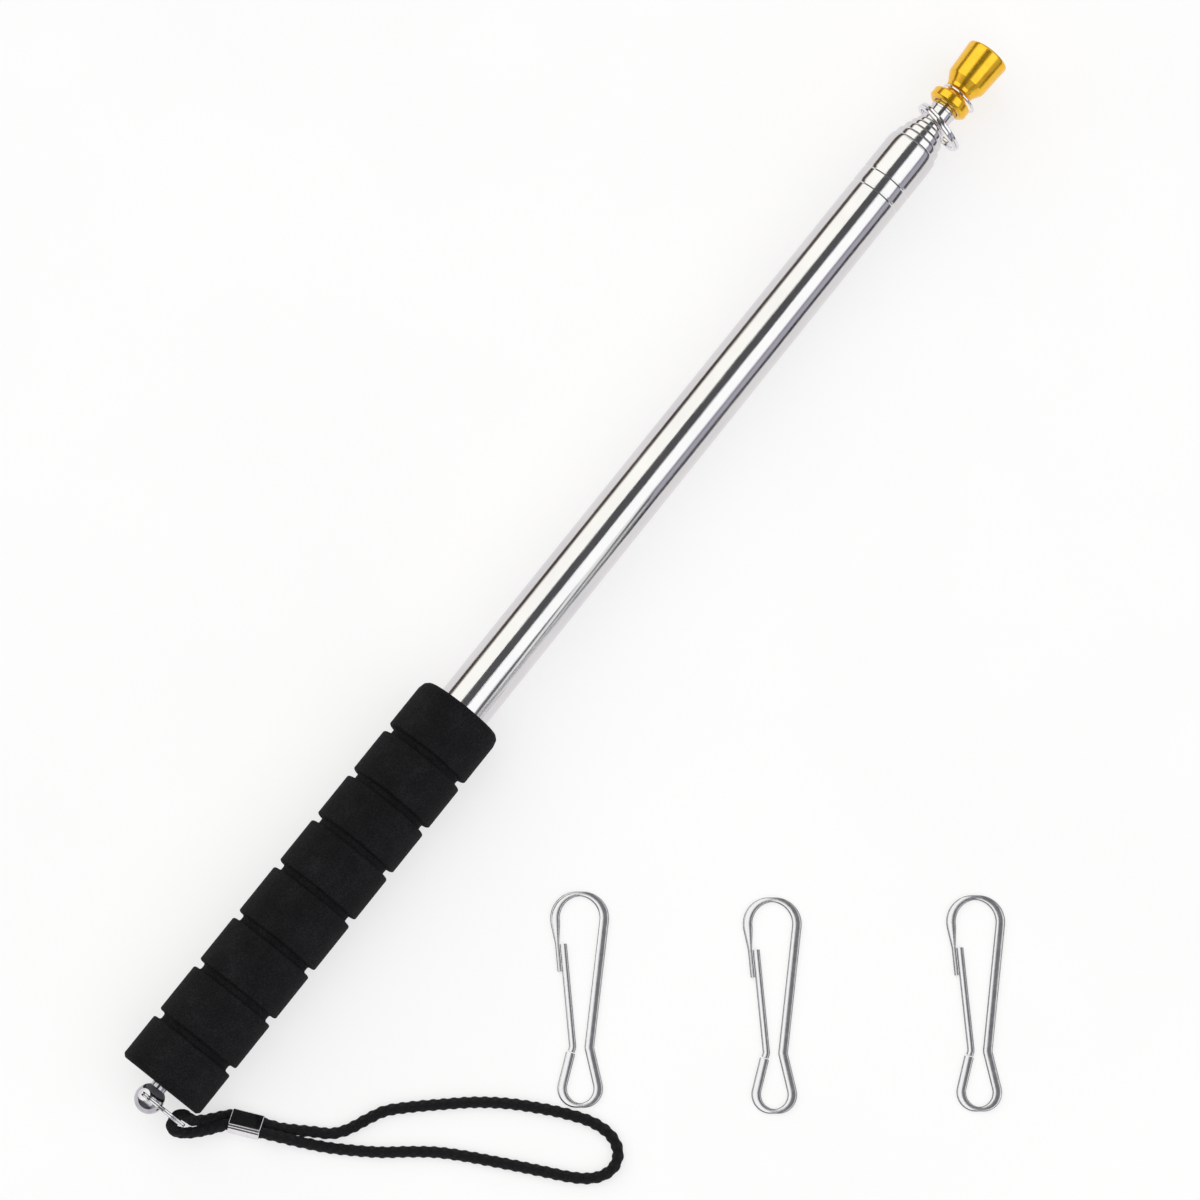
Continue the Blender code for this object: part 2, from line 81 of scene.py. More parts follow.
# ---- materials --------------------------------------------------------------------------------
class Nodes:
    """Short calls for the nodes of one tree. An input gets a value or a link from another node."""

    def __init__(self, tree):
        self.tree = tree

    def add(self, kind, inputs=(), **settings):
        node = self.tree.nodes.new(kind)
        for key, value in settings.items():
            setattr(node, key, value)
        for key, value in dict(inputs).items():
            if isinstance(value, bpy.types.NodeSocket):
                self.tree.links.new(value, node.inputs[key])
            else:
                node.inputs[key].default_value = value
        return node

    def maths(self, operation, a, b=0.0):
        return self.add("ShaderNodeMath", {0: a, 1: b}, operation=operation).outputs[0]

    def ramp(self, value, stops):
        """The value as a colour, through (position, colour) stops."""
        node = self.add("ShaderNodeValToRGB", {"Fac": value})
        elements = node.color_ramp.elements
        while len(elements) < len(stops):
            elements.new(0.5)
        for element, (at, colour) in zip(elements, stops):
            element.position = at
            element.color = (*colour, 1)
        return node.outputs["Color"]


class Look(Nodes):
    """A new material. Its textures are placed in millimetres of the piece's own coordinates."""

    def __init__(self, name, **sockets):
        self.material = bpy.data.materials.new(name)
        self.material.use_nodes = True
        super().__init__(self.material.node_tree)
        self.shader = self.tree.nodes["Principled BSDF"]
        for socket, value in sockets.items():
            self.shader.inputs[socket.replace("_", " ")].default_value = value

    def place(self, stretch=(1, 1, 1)):
        """Object coordinates in millimetres, stretched."""
        where = self.add("ShaderNodeTexCoord").outputs["Object"]
        scale = [s / MM for s in stretch]
        return self.add("ShaderNodeMapping", {"Vector": where, "Scale": scale}).outputs["Vector"]

    def noise(self, scale, detail, stretch=(1, 1, 1)):
        inputs = {"Vector": self.place(stretch), "Scale": scale, "Detail": detail, "Roughness": 0.6}
        return self.add("ShaderNodeTexNoise", inputs).outputs["Fac"]

    def spread(self, value, low, high):
        """The middle range of a noise, 0.3 to 0.7, spread over low to high."""
        inputs = {"Value": value, "From Min": 0.3, "From Max": 0.7, "To Min": low, "To Max": high}
        return self.add("ShaderNodeMapRange", inputs).outputs["Result"]

    def bump(self, height, depth_mm, under=None):
        inputs = {"Height": height, "Distance": depth_mm * MM, "Strength": 1.0}
        if under is not None:
            inputs["Normal"] = under
        return self.add("ShaderNodeBump", inputs).outputs["Normal"]

    def link(self, value, socket):
        self.tree.links.new(value, self.shader.inputs[socket])


def foam_material():
    """Closed-cell foam: a fine matte grain with small pits and slightly paler, rubbed high spots."""
    n = Look("black_foam", Metallic=0.0, Specular_IOR_Level=0.12)
    grain = n.noise(2.6, 5.0)
    bubbles = n.add("ShaderNodeTexVoronoi", {"Vector": n.place(), "Scale": 3.0}, feature="F1")
    broad = n.noise(0.12, 3.0)
    tone = n.maths("ADD", n.maths("MULTIPLY", grain, 0.7), n.maths("MULTIPLY", broad, 0.3))
    pitted, plain, rubbed = (0.003, 0.003, 0.0035), (0.009, 0.009, 0.010), (0.024, 0.024, 0.027)
    n.link(n.ramp(tone, [(0.34, pitted), (0.50, plain), (0.66, rubbed)]), "Base Color")
    n.link(n.spread(broad, 0.80, 0.95), "Roughness")
    n.link(n.bump(grain, 0.22, under=n.bump(bubbles.outputs["Distance"], 0.10)), "Normal")
    return n.material


def steel_material():
    """Polished stainless tube: faint drawing lines along it, a soft haze and small handling marks."""
    n = Look("polished_steel", Metallic=1.0)
    lines = n.noise(1.6, 3.0, stretch=(3.0, 0.012, 3.0))
    haze = n.noise(0.05, 3.0)
    marks = n.noise(0.9, 6.0, stretch=(1.0, 0.35, 1.0))
    n.link(n.ramp(haze, [(0.3, (0.70, 0.70, 0.71)), (0.7, (0.76, 0.755, 0.75))]), "Base Color")
    rough_marks = n.maths("MULTIPLY", n.spread(marks, 0.0, 1.0), 0.03)
    n.link(n.maths("ADD", n.spread(haze, 0.055, 0.10), rough_marks), "Roughness")
    n.link(n.bump(lines, 0.010, under=n.bump(marks, 0.004)), "Normal")
    return n.material


def plated_material(name, low, high, rough_low, rough_high):
    """Bright plate over turned or bent metal, with a slight orange-peel ripple and a few dull spots."""
    n = Look(name, Metallic=1.0)
    spots = n.noise(0.6, 4.0)
    peel = n.noise(1.3, 2.0)
    n.link(n.ramp(spots, [(0.35, low), (0.65, high)]), "Base Color")
    n.link(n.spread(spots, rough_low, rough_high), "Roughness")
    n.link(n.bump(peel, 0.012), "Normal")
    return n.material


def strip_material():
    """Bright plated strip with painted shade: pale on its level faces, painted darker on its upright, sheared
    edges.
    """
    n = Look("hook_plate", Metallic=1.0)
    spots = n.noise(0.6, 4.0)
    # Painted shade: the colour follows which way each face points, pale where it faces up and dark on the
    # upright edges, with random spots mixed in.
    facing = n.add("ShaderNodeTexCoord").outputs["Normal"]
    upward = n.maths("ABSOLUTE", n.add("ShaderNodeSeparateXYZ", {"Vector": facing}).outputs["Z"])
    painted_shade_and_spots = n.maths("ADD", upward, n.maths("MULTIPLY", n.maths("SUBTRACT", spots, 0.5), 0.3))
    edge, shoulder, face = (0.05, 0.05, 0.055), (0.42, 0.42, 0.43), (0.86, 0.86, 0.87)
    n.link(n.ramp(painted_shade_and_spots, [(0.30, edge), (0.62, shoulder), (0.86, face)]), "Base Color")
    n.link(n.spread(spots, 0.10, 0.20), "Roughness")
    n.link(n.bump(n.noise(1.3, 2.0), 0.012), "Normal")
    return n.material


def gold_material():
    """Gold-coloured turned metal: fine turning lines round it under a bright lacquer."""
    n = Look("gold_finish", Metallic=0.86, Coat_Weight=0.25, Coat_Roughness=0.08)
    turning = n.noise(2.2, 2.0, stretch=(0.08, 4.0, 0.08))
    patches = n.noise(0.35, 3.0)
    n.link(n.ramp(patches, [(0.3, (0.95, 0.50, 0.018)), (0.7, (1.0, 0.61, 0.035))]), "Base Color")
    n.link(n.spread(patches, 0.16, 0.26), "Roughness")
    n.link(n.bump(turning, 0.010), "Normal")
    return n.material


def plastic_material():
    """Grey moulded plastic of the butt plug, with a light spark-eroded texture."""
    n = Look("moulded_grey", Metallic=0.0)
    texture = n.noise(3.0, 4.0)
    n.link(n.ramp(texture, [(0.3, (0.17, 0.17, 0.18)), (0.7, (0.23, 0.23, 0.24))]), "Base Color")
    n.link(n.spread(texture, 0.42, 0.58), "Roughness")
    n.link(n.bump(texture, 0.03), "Normal")
    return n.material


def cord_material():
    """Black braid: each crossing strand shows its fine threads. U runs round the cord, V along it in mm."""
    n = Look("black_braid", Metallic=0.0, Specular_IOR_Level=0.20, Sheen_Weight=0.05, Sheen_Roughness=0.45)
    uv = n.add("ShaderNodeTexCoord").outputs["UV"]
    split = n.add("ShaderNodeSeparateXYZ", {"Vector": uv})
    around = n.maths("MULTIPLY", split.outputs["X"], BRAID_STRANDS)
    along = n.maths("DIVIDE", split.outputs["Y"], BRAID_PITCH)
    one = n.maths("ADD", around, along)
    other = n.maths("SUBTRACT", around, along)
    crossings = n.maths("ADD", n.maths("FLOOR", one), n.maths("FLOOR", other))
    over = n.maths("MODULO", n.maths("ABSOLUTE", crossings), 2.0)
    under = n.maths("SUBTRACT", 1.0, over)
    upper = n.maths("ADD", n.maths("MULTIPLY", one, over), n.maths("MULTIPLY", other, under))
    threads = n.maths("SINE", n.maths("MULTIPLY", upper, 2 * math.pi * THREADS))
    fuzz = n.noise(6.0, 5.0)
    # Painted highlight and shade: the threads' crests are paler and the valleys between them darker, over a
    # random fuzz in the black.
    tone = n.maths("ADD", n.maths("MULTIPLY", threads, 0.14), fuzz)
    valley, strand, ridge = (0.0015, 0.0015, 0.002), (0.005, 0.005, 0.006), (0.026, 0.026, 0.031)
    n.link(n.ramp(tone, [(0.25, valley), (0.5, strand), (0.8, ridge)]), "Base Color")
    n.link(n.spread(fuzz, 0.55, 0.8), "Roughness")
    n.link(n.bump(threads, 0.05, under=n.bump(fuzz, 0.08)), "Normal")
    return n.material


# ---- mesh tools -------------------------------------------------------------------------------
def as_piece(name, mesh, material, body, *nodes):
    """A row-frame mesh becomes a smooth piece that replaces CAD nodes and rides on a body."""
    mesh.materials.append(material)
    mesh.shade_smooth()
    piece = bpy.data.objects.new(name, mesh)
    bpy.context.scene.collection.objects.link(piece)
    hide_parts(*nodes)
    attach(piece, body)
    return piece


def finished(name, bm, material, body, *nodes, sharp=40):
    """A bmesh in bench millimetres becomes a piece. Edges over `sharp` degrees stay crisp."""
    bmesh.ops.remove_doubles(bm, verts=bm.verts, dist=1e-4)
    bmesh.ops.delete(bm, geom=[e for e in bm.edges if not e.link_faces], context="EDGES")
    bmesh.ops.recalc_face_normals(bm, faces=bm.faces)
    for vertex in bm.verts:
        vertex.co = home(vertex.co)
    mesh = bpy.data.meshes.new(name)
    bm.to_mesh(mesh)
    bm.free()
    piece = as_piece(name, mesh, material, body, *nodes)
    mesh.set_sharp_from_angle(angle=math.radians(sharp))
    return piece


def skin(rings, closed):
    """Faces over rings of equally many points: joined end to end if closed, else capped at both ends."""
    bm = bmesh.new()
    rows = [[bm.verts.new(p) for p in ring] for ring in rings]
    count = len(rows[0])
    pairs = list(zip(rows, rows[1:]))
    if closed:
        pairs.append((rows[-1], rows[0]))
    for low, high in pairs:
        for i in range(count):
            j = (i + 1) % count
            bm.faces.new((low[i], low[j], high[j], high[i]))
    if not closed:
        bm.faces.new(rows[0])
        bm.faces.new(rows[-1])
    return bm


def softened(outline, radius, steps=4):
    """A closed outline of (a, b) points with each corner rounded, as far as its shorter edge lets it.

    Points on the axis, where a is 0, and corners that are nearly straight stay as they are.
    """
    tiny = 1e-6
    nearly_straight = math.radians(86)
    edge_share = 0.45
    made = []
    for i, corner in enumerate(outline):
        here = Vector(corner)
        to_last = Vector(outline[i - 1]) - here
        to_next = Vector(outline[(i + 1) % len(outline)]) - here
        if abs(here.x) < tiny or to_last.length < tiny or to_next.length < tiny:
            made.append(here)
            continue
        behind, ahead = to_last.normalized(), to_next.normalized()
        half = behind.angle(ahead) / 2
        if half > nearly_straight:
            made.append(here)
            continue
        reach = min(radius / math.tan(half), edge_share * to_last.length, edge_share * to_next.length)
        start, end = here + behind * reach, here + ahead * reach
        for k in range(steps + 1):
            t = k / steps
            made.append(start * (1 - t) ** 2 + here * 2 * t * (1 - t) + end * t * t)
    return made


def turned(outline, sides=96):
    """Turns a closed (radius, y) outline round the pole's axis."""
    rings = []
    for i in range(sides):
        angle = 2 * math.pi * i / sides
        side, rise = math.sin(angle), -math.cos(angle)
        rings.append([Vector((r * side, y, AXIS_Z + r * rise)) for r, y in outline])
    return skin(rings, closed=True)


def settle(bm, turn_z, at, lean=0.0):
    """Leans a bmesh about +X, turns it about +Z and moves it to its place in the bench frame."""
    turned_so = Matrix.Rotation(turn_z, 4, "Z") @ Matrix.Rotation(lean, 4, "X")
    bmesh.ops.transform(bm, matrix=Matrix.Translation(at) @ turned_so, verts=bm.verts)
    return bm


def heading(path, i):
    """The direction of a path at its point i."""
    return (path[min(i + 1, len(path) - 1)] - path[max(i - 1, 0)]).normalized()


def rounded(corners, radii, steps):
    """A path through the corners, each inner one rounded to its radius. Points are Vectors of two."""
    path = [Vector(corners[0])]
    for i, radius in enumerate(radii, start=1):
        here = Vector(corners[i])
        behind = (Vector(corners[i - 1]) - here).normalized()
        ahead = (Vector(corners[i + 1]) - here).normalized()
        half = behind.angle(ahead) / 2
        centre = here + (behind + ahead).normalized() * (radius / math.sin(half))
        first = here + behind * (radius / math.tan(half)) - centre
        swing = (math.pi - 2 * half) * (1 if behind.cross(first) > 0 else -1)
        path += [centre + Matrix.Rotation(swing * k / steps, 2) @ first for k in range(steps + 1)]
    path.append(Vector(corners[-1]))
    return path


def spaced(path, spacing):
    """The same path with its long straight stretches divided."""
    made = [path[0]]
    for start, end in zip(path, path[1:]):
        count = max(1, round((end - start).length / spacing))
        made += [start.lerp(end, k / count) for k in range(1, count + 1)]
    return made


# ---- grip, tubes and tip ----------------------------------------------------------------------
GRIP_LENGTH, GRIP_BORE, RIB_R, GROOVE_R = 134.9, 8.3, 13.5, 11.5
GROOVE_CENTRES = (15.3, 32.9, 50.2, 68.3, 85.2, 101.3, 117.5)
SECTIONS = 6
TUBE_R, TUBE_STEP, TUBE_WALL = 8.0, 0.83, 0.40
FIXED_FOOT, SLIDING_FOOT, FOOT_LIP = 2.0, 14.0, 0.28
ROLLED_LINES, LINE_DEPTH = (326.3, 331.7), 0.22
# Where each of the first five tubes ends, and how far back its rolled mouth starts to curl in.
MOUTH_Y = (345.2, 347.9, 350.3, 352.3, 354.0)
SHOULDER = (3.7, 1.2, 1.1, 1.0, 0.9)
MOUTH_PLAY, MOUTH_LIP = 0.08, 0.28
BEAD_FOOT, BEAD_LENGTH, BEAD_RISE = 358.6, 1.2, 0.25
LAST_TUBE_END = 363.3
ARC_STEPS = 8


def foam_grip(material):
    """The foam sleeve: eight ribs between seven square grooves, rounded over at its front end."""
    chamfer = 0.9
    outline = [(GRIP_BORE, 0.0), (RIB_R - chamfer, 0.0), (RIB_R, chamfer)]
    groove_side = ((RIB_R, 1.5), (RIB_R - 0.4, 1.15), (GROOVE_R, 1.05))
    for centre in GROOVE_CENTRES:
        outline += [(r, centre - half) for r, half in groove_side]
        outline += [(r, centre + half) for r, half in reversed(groove_side)]
    front_round = ((0.0, 3.0), (0.5, 1.0), (1.6, 0.0))
    outline += [(RIB_R - inward, GRIP_LENGTH - short) for inward, short in front_round]
    outline.append((GRIP_BORE, GRIP_LENGTH))
    finished("foam_sleeve", turned(softened(outline, 0.8)), material, "grip", "foam_grip")


def tube_foot(section, inner, outer):
    """The fixed tube starts plain and has two rolled lines; a sliding one starts with a low lip."""
    if section > 1:
        lip, lip_end = outer + FOOT_LIP, SLIDING_FOOT + 1.2
        return [(inner, SLIDING_FOOT), (lip, SLIDING_FOOT), (lip, lip_end), (outer, lip_end)]
    outline = [(inner, FIXED_FOOT), (outer, FIXED_FOOT)]
    for y in ROLLED_LINES:
        bottom = outer - LINE_DEPTH
        outline += [(outer, y - 0.55), (bottom, y - 0.12), (bottom, y + 0.12), (outer, y + 0.55)]
    return outline


def rolled_mouth(inner, outer, top, shoulder):
    """The tube's end curls in over the next tube, and its lip turns back down inside."""
    mouth = outer - TUBE_STEP + MOUTH_PLAY
    curl = outer - mouth - MOUTH_LIP
    outline = []
    for k in range(ARC_STEPS + 1):
        turn_in = math.radians(90 * k / ARC_STEPS)
        y = top - shoulder * (1 - math.sin(turn_in)) - 0.12
        outline.append((outer - curl * (1 - math.cos(turn_in)), y))
    return outline + [(mouth + 0.25, top - 0.02), (mouth, top - 0.6), (mouth, top - 1.0),
                      (inner, top - shoulder - 0.5)]


def beaded_end(inner, outer):
    """The last tube's end, with a low bead below the collar."""
    outline = []
    for k in range(ARC_STEPS + 1):
        swell = math.sin(math.pi * k / ARC_STEPS)
        outline.append((outer + BEAD_RISE * swell, BEAD_FOOT + BEAD_LENGTH * k / ARC_STEPS))
    return outline + [(outer, LAST_TUBE_END), (inner, LAST_TUBE_END)]


def tubes(material):
    """The fixed tube and the five sliding ones."""
    for section in range(1, SECTIONS + 1):
        outer = TUBE_R - TUBE_STEP * (section - 1)
        inner = outer - TUBE_WALL
        outline = tube_foot(section, inner, outer)
        if section < SECTIONS:
            outline += rolled_mouth(inner, outer, MOUTH_Y[section - 1], SHOULDER[section - 1])
        else:
            outline += beaded_end(inner, outer)
        tube = turned(softened(outline, 0.12, 2))
        body = "grip" if section == 1 else f"section_{section}"
        finished(f"tube_{section}_wall", tube, material, body, f"tube_{section}", sharp=32)


def tip(gold):
    """The collar on the last tube and the knob on its stud, as (radius, y) outlines."""
    tube_bore, stud_bore = 3.97, 2.15
    collar = [(tube_bore, 360.5), (5.2, 360.5), (6.15, 361.3), (6.15, 363.6), (5.2, 364.3),
              (stud_bore, 364.3), (stud_bore, 363.45), (tube_bore, 363.45)]
    finished("tip_collar_turned", turned(softened(collar, 0.5)), gold, "section_6", "tip_collar")
    neck = 3.2
    knob = [(stud_bore, 364.4), (neck, 364.4), (neck, 366.5), (4.15, 366.5), (4.5, 367.6), (5.95, 370.0),
            (6.12, 370.7), (6.2, 371.6), (6.42, 376.0), (6.7, 380.2), (6.62, 380.75), (6.1, 381.0),
            (0.0, 381.0), (0.0, 373.5), (stud_bore, 373.5)]
    finished("tip_knob_turned", turned(softened(knob, 0.3)), gold, "section_6", "tip_knob")


# ---- ball and rings ---------------------------------------------------------------------------
BALL_R, BALL_Y = 4.3, -4.7
NECK_R, NECK_START, NECK_END = 2.4, -0.8, 0.3
SHANK_R, SHANK_END = 2.0, 9.0
HOLE_R, HOLE_X, HOLE_LENGTH = 1.75, -1.5, 14
SPLIT_TURNS = 1.85
COIL_GAP = 0.06


def ball(plate):
    """The ball, its neck and shank, with the strap ring's hole drilled plumb through the ball."""
    steps, sweep = 24, 146
    outline = [(0.0, BALL_Y - BALL_R)]
    for k in range(1, steps + 1):
        angle = math.radians(-90 + sweep * k / steps)
        outline.append((BALL_R * math.cos(angle), BALL_Y + BALL_R * math.sin(angle)))
    outline += [(NECK_R, NECK_START), (NECK_R, NECK_END), (SHANK_R, NECK_END), (SHANK_R, SHANK_END),
                (0.0, SHANK_END)]
    piece = finished("ball_polished", turned(outline, 64), plate, "grip", "ball_stud")

    drill_bm = bmesh.new()
    bmesh.ops.create_cone(drill_bm, cap_ends=True, segments=48, radius1=HOLE_R * MM, radius2=HOLE_R * MM,
                          depth=HOLE_LENGTH * MM)
    mesh = bpy.data.meshes.new("drill")
    drill_bm.to_mesh(mesh)
    drill_bm.free()
    drill = bpy.data.objects.new("drill", mesh)
    bpy.context.scene.collection.objects.link(drill)
    drill.matrix_world = Matrix.Translation(home((HOLE_X, BALL_Y, AXIS_Z)))
    cut = piece.modifiers.new("cross_hole", "BOOLEAN")
    cut.operation = "DIFFERENCE"
    cut.object = drill
    bpy.context.view_layer.update()
    drilled = bpy.data.meshes.new_from_object(piece.evaluated_get(bpy.context.evaluated_depsgraph_get()))
    piece.modifiers.clear()
    piece.data = drilled
    drilled.set_sharp_from_angle(angle=math.radians(40))
    bpy.data.objects.remove(drill, do_unlink=True)


def coil_ring(inner, outer, coil):
    """A flat split ring about +Y with softened edges: a strip wound nearly twice, its coils side by side."""
    steps = 72
    crossover = 0.15
    w, h = (outer - inner) / 2, coil / 2
    section = softened([(-w, -h), (w, -h), (w, h), (-w, h)], 0.3, 3)
    pitch = coil + COIL_GAP
    rings = []
    for i in range(int(SPLIT_TURNS * steps) + 1):
        turns = i / steps
        angle = 2 * math.pi * turns
        crossing = min(1.0, max(0.0, (turns - 1 + crossover) / crossover))
        middle = pitch * (crossing * crossing * (3 - 2 * crossing)) - pitch / 2
        out = Vector((math.cos(angle), 0, math.sin(angle)))
        rings.append([out * ((inner + outer) / 2 + p.x) + Y_AXIS * (middle + p.y) for p in section])
    return skin(rings, closed=False)


def wire_ring(radius, wire):
    """A closed ring of round wire about +Y."""
    steps, sides = 96, 16
    around = [2 * math.pi * k / sides for k in range(sides)]
    rings = []
    for i in range(steps):
        angle = 2 * math.pi * i / steps
        out = Vector((math.cos(angle), 0, math.sin(angle)))
        rings.append([out * (radius + wire * math.cos(a)) + Y_AXIS * (wire * math.sin(a)) for a in around])
    return skin(rings, closed=True)


def rings(plate):
    """The strap ring through the ball, the flag ring on the last tube and the wire ring below the knob."""
    strap = settle(coil_ring(inner=6.5, outer=7.5, coil=0.60), 0, Vector((4.9, BALL_Y, AXIS_Z)))
    finished("strap_split_ring", strap, plate, "wrist_strap", "strap_ring")
    flag = settle(coil_ring(inner=7.2, outer=8.5, coil=0.95), math.radians(-14),
                  Vector((1.6, 355.3, AXIS_Z - 2.6)), lean=math.radians(4))
    finished("flag_split_ring", flag, plate, "flag_tie_ring", "flag_ring")
    thin = settle(wire_ring(radius=5.35, wire=0.45), math.radians(-5), Vector((1.1, 365.4, AXIS_Z - 0.85)))
    finished("tip_wire_ring", thin, plate, "tip_tie_ring", "tip_ring")


# ---- wrist strap ------------------------------------------------------------------------------
CORD_R = 1.6
BRAID_STRANDS, BRAID_PITCH, THREADS = 4.0, 2.9, 5
BRAID_RISE, BRAID_VALLEY = 0.10, 0.42
FERRULE_MIDDLE, FERRULE_LENGTH = Vector((24.4, 6.5, 3.75)), 9.0
FERRULE_TURN, FERRULE_TILT = math.radians(24.4), math.radians(35)
ALONG = Vector((math.cos(FERRULE_TURN), math.sin(FERRULE_TURN), 0))
BROAD = ALONG.cross(UP) * math.cos(FERRULE_TILT) + UP * math.sin(FERRULE_TILT)


def ferrule(plate):
    """The flat crimp, an oblong tube with rounded lips. ALONG is its length and BROAD its width."""
    half_width, half_thick, corner_radius = 3.65, 1.975, 1.3
    lip, wall = 0.12, 0.28
    thick = ALONG.cross(BROAD)

    def oblong(distance, inset):
        w, h = half_width - inset, half_thick - inset
        centre = FERRULE_MIDDLE + ALONG * distance
        section = softened([(w, -h), (w, h), (-w, h), (-w, -h)], corner_radius - inset * 0.6, 6)
        return [centre + BROAD * p.x + thick * p.y for p in section]

    end = FERRULE_LENGTH / 2
    stations = [(-end, lip), (-end + lip, 0), (-end * 0.5, 0), (end * 0.5, 0), (end - lip, 0), (end, lip),
                (end, wall), (-end, wall)]
    loops = [oblong(distance, inset) for distance, inset in stations]
    finished("ferrule_crimp", skin(loops, closed=True), plate, "wrist_strap", "cord_ferrule")


def cord_route():
    """The cord's own points: out of the ferrule, round the hand loop, back through it and round the ring."""
    lane = CORD_R + 0.07
    flat = CORD_R + 0.12
    reach = FERRULE_LENGTH / 2

    def in_ferrule(distance, side):
        return FERRULE_MIDDLE + ALONG * distance + BROAD * side * lane

    hand_loop = [(32.4, 11.5, 2.1), (36.2, 13.8, flat), (40.6, 16.6, flat), (44.4, 19.0, flat),
                 (46.8, 21.7, flat), (48.4, 24.6, flat), (50.2, 28.8, flat), (52.6, 33.4, flat),
                 (57.0, 38.2, flat), (63.8, 44.6, flat), (71.0, 51.0, flat), (78.3, 56.3, flat),
                 (86.1, 60.8, flat), (93.4, 64.4, flat), (100.3, 66.9, flat), (106.4, 67.2, flat),
                 (110.8, 65.0, flat), (112.6, 61.1, flat), (111.6, 57.0, flat), (108.6, 53.6, flat),
                 (104.2, 50.8, flat), (98.4, 47.9, flat), (91.4, 44.4, flat), (84.4, 40.8, flat),
                 (77.6, 37.2, flat), (71.2, 33.4, flat), (65.2, 28.9, flat), (59.2, 24.0, flat),
                 (53.0, 19.7, flat), (46.4, 15.6, flat), (40.4, 12.5, 2.3), (34.8, 9.8, 3.7)]
    ring_eye = [(19.0, 1.2, 4.6), (16.4, -2.3, 5.4), (13.4, -5.6, 7.0), (10.9, -7.2, 8.9), (9.3, -6.9, 10.2),
                (8.6, -4.7, 10.7), (9.2, -2.6, 10.2), (10.6, -2.1, 8.9), (12.4, -1.9, 6.8), (14.6, 0.0, 4.9),
                (17.2, 3.3, 3.4)]
    route = [in_ferrule(0.3, -1), in_ferrule(reach, -1), in_ferrule(reach + 1.2, -1), *hand_loop,
             in_ferrule(reach + 1.2, 1), in_ferrule(reach, 1), in_ferrule(0, 1), in_ferrule(-reach, 1),
             in_ferrule(-reach - 0.7, 1), *ring_eye,
             in_ferrule(-reach - 0.7, -1), in_ferrule(-reach, -1), in_ferrule(-0.3, -1)]
    return [Vector(p) for p in route]


def smooth_curve(points, steps=40):
    """The smooth curve through the points, with so many steps between each two."""
    ends = [points[0] * 2 - points[1]] + points + [points[-1] * 2 - points[-2]]
    fine = []
    for p0, p1, p2, p3 in zip(ends, ends[1:], ends[2:], ends[3:]):
        for k in range(steps):
            t = k / steps
            fine.append(0.5 * (2 * p1 + (p2 - p0) * t + (2 * p0 - 5 * p1 + 4 * p2 - p3) * t**2
                               + (3 * p1 - p0 - 3 * p2 + p3) * t**3))
    fine.append(points[-1])
    return fine


def even_steps(curve, spacing=0.3):
    """The curve as points at even distances of about the spacing, with its whole length."""
    total = sum((b - a).length for a, b in zip(curve, curve[1:]))
    count = round(total / spacing)
    step = total / count
    even, walked = [curve[0]], 0.0
    for a, b in zip(curve, curve[1:]):
        length = (b - a).length
        while len(even) < count and walked + length >= step * len(even):
            even.append(a.lerp(b, (step * len(even) - walked) / length))
        walked += length
    return even + [curve[-1]], total


def braid_radius(share, distance):
    """The braid's radius at a share of the way round it and a distance along it."""
    one = BRAID_STRANDS * share + distance / BRAID_PITCH
    other = BRAID_STRANDS * share - distance / BRAID_PITCH
    bulge = math.sqrt(abs(math.sin(math.pi * one) * math.sin(math.pi * other)))
    return CORD_R + BRAID_RISE - BRAID_VALLEY * (1 - bulge)


def braided_cord(material):
    """The braid as a surface: strands wind both ways and bulge where one lies over the other."""
    line, total = even_steps(smooth_curve(cord_route()))
    sides = 24
    frame_up = UP
    vertices, lengths = [], []
    for i, here in enumerate(line):
        ahead = heading(line, i)
        frame_up = (frame_up - ahead * frame_up.dot(ahead)).normalized()
        side = ahead.cross(frame_up)
        distance = total * i / (len(line) - 1)
        lengths.append(distance)
        for k in range(sides):
            angle = 2 * math.pi * k / sides
            out = side * math.cos(angle) + frame_up * math.sin(angle)
            vertices.append(home(here + out * braid_radius(k / sides, distance)))

    faces, uvs = [], []
    for i in range(len(line) - 1):
        for k in range(sides):
            j = (k + 1) % sides
            faces.append((i * sides + k, i * sides + j, (i + 1) * sides + j, (i + 1) * sides + k))
            uvs += [(k / sides, lengths[i]), ((k + 1) / sides, lengths[i]),
                    ((k + 1) / sides, lengths[i + 1]), (k / sides, lengths[i + 1])]
    last = (len(line) - 1) * sides
    for cap in (range(sides), range(last + sides - 1, last - 1, -1)):
        faces.append(tuple(cap))
        uvs += [(0, 0)] * sides
    mesh = bpy.data.meshes.new("wrist_braid")
    mesh.from_pydata(vertices, [], faces)
    layer = mesh.uv_layers.new(name="braid")
    layer.data.foreach_set("uv", [value for pair in uvs for value in pair])
    bm = bmesh.new()
    bm.from_mesh(mesh)
    bmesh.ops.recalc_face_normals(bm, faces=bm.faces)
    bm.to_mesh(mesh)
    bm.free()
    piece = as_piece("wrist_braid", mesh, material, "wrist_strap", "wrist_cord")


# ---- snap hooks -------------------------------------------------------------------------------
HOOK_PLACES = ((76.2, 92.1), (120.1, 124.5), (165.0, 160.6))
HOOK_TURN = math.radians(38.3)
# A hook's own points start from its eye's end; this one comes to lie at its place.
HOOK_MIDDLE = Vector((0, 30.5))
HOOK_THICK = 1.3
EDGE_RADIUS, FACE_CROWN = 0.42, 0.26
LOOP_END, EYE_END = 60.35, 0.65
LOOP_BEND, WAIST_BEND, EYE_BEND, GATE_BEND = 6.9, 3.0, 4.7, 2.5
CATCH_END = (-5.95, 38.3)
GATE_FOOT, GATE_PINCH, GATE_TIP = (-2.72, 15.7), (-2.25, 16.9), (-4.9, 46.1)
CROSS_WIDTH, LEG_WIDTH, CATCH_WIDTH, GATE_WIDTH = 1.3, 2.7, 1.15, 2.0
WIDENING = 6


